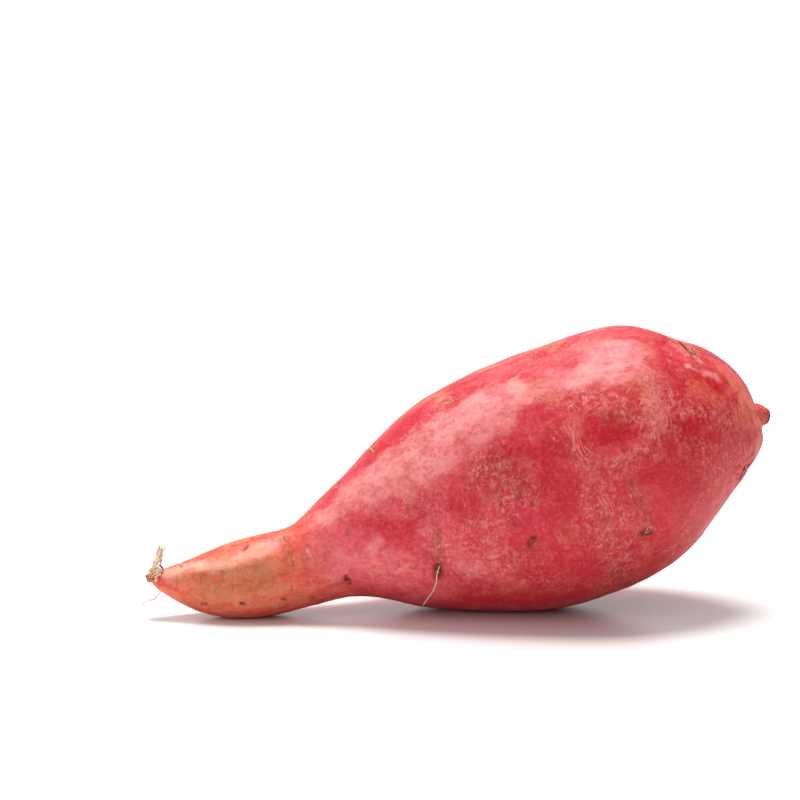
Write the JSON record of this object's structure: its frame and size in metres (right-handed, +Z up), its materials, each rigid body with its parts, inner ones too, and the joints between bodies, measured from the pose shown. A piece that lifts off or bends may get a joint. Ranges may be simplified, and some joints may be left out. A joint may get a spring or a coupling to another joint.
{
  "type": "sweet potato",
  "caption": "Crimson-skinned sweet potato lying on its side: a pear-shaped root with a slim finger at the root end and a short stem stump.",
  "frame": {"origin": "on the resting surface, below the middle of the bounding box", "axes": "+X from the root tip to the stem end, +Z up, -Y out of the side that faces the picture's camera"},
  "size_m": [0.1863, 0.0766, 0.0843],
  "materials": {
    "skin": "thin crimson-pink grown skin, half gloss on clean skin and duller where it is scuffed, with light flaked hairlines, tan scars and brown eyes",
    "stem_stump": "coral bark with a brown cut face",
    "dried_root": "dry cream and tan root fibres, dull"
  },
  "bodies": {
    "root": {"sweet_potato": "skin"}
  },
  "joints": []
}
